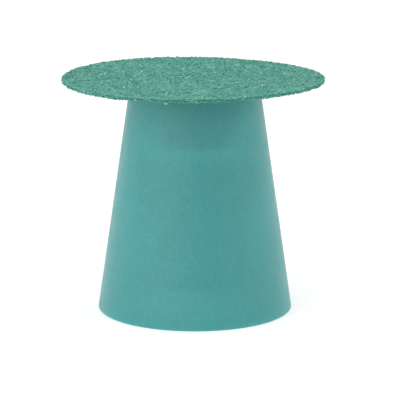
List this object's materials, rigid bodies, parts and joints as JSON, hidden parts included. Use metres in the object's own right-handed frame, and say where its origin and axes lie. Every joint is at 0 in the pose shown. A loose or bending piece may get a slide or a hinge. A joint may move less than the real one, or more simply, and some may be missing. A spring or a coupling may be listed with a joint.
{
  "type": "push-on abrasive disc for a dental prophy angle",
  "caption": "Small flat round abrasive disc bonded to the narrow top of a tapered, translucent push-on hub with a stepped socket in its underside.",
  "frame": {"origin": "centre of the ring on which the hub's rim stands, on the axis of rotation", "axes": "+Z along the axis of rotation, from the socket's mouth towards the abrasive face; X and Y are any two directions across it, because the part is round"},
  "size_m": [0.008, 0.008, 0.0072],
  "materials": {
    "hub_plastic": "moulded satin, tinted translucent teal",
    "adhesive": "clear cured adhesive",
    "film": "tinted polyester film",
    "resin": "pigmented resin coat",
    "grit": "coarse mineral grit set in resin"
  },
  "bodies": {
    "root": {"hub": "hub_plastic", "bond_ring": "adhesive", "backing_film": "film", "front_resin": "resin", "back_resin": "resin", "front_grit": "grit", "back_grit": "grit"}
  },
  "joints": []
}
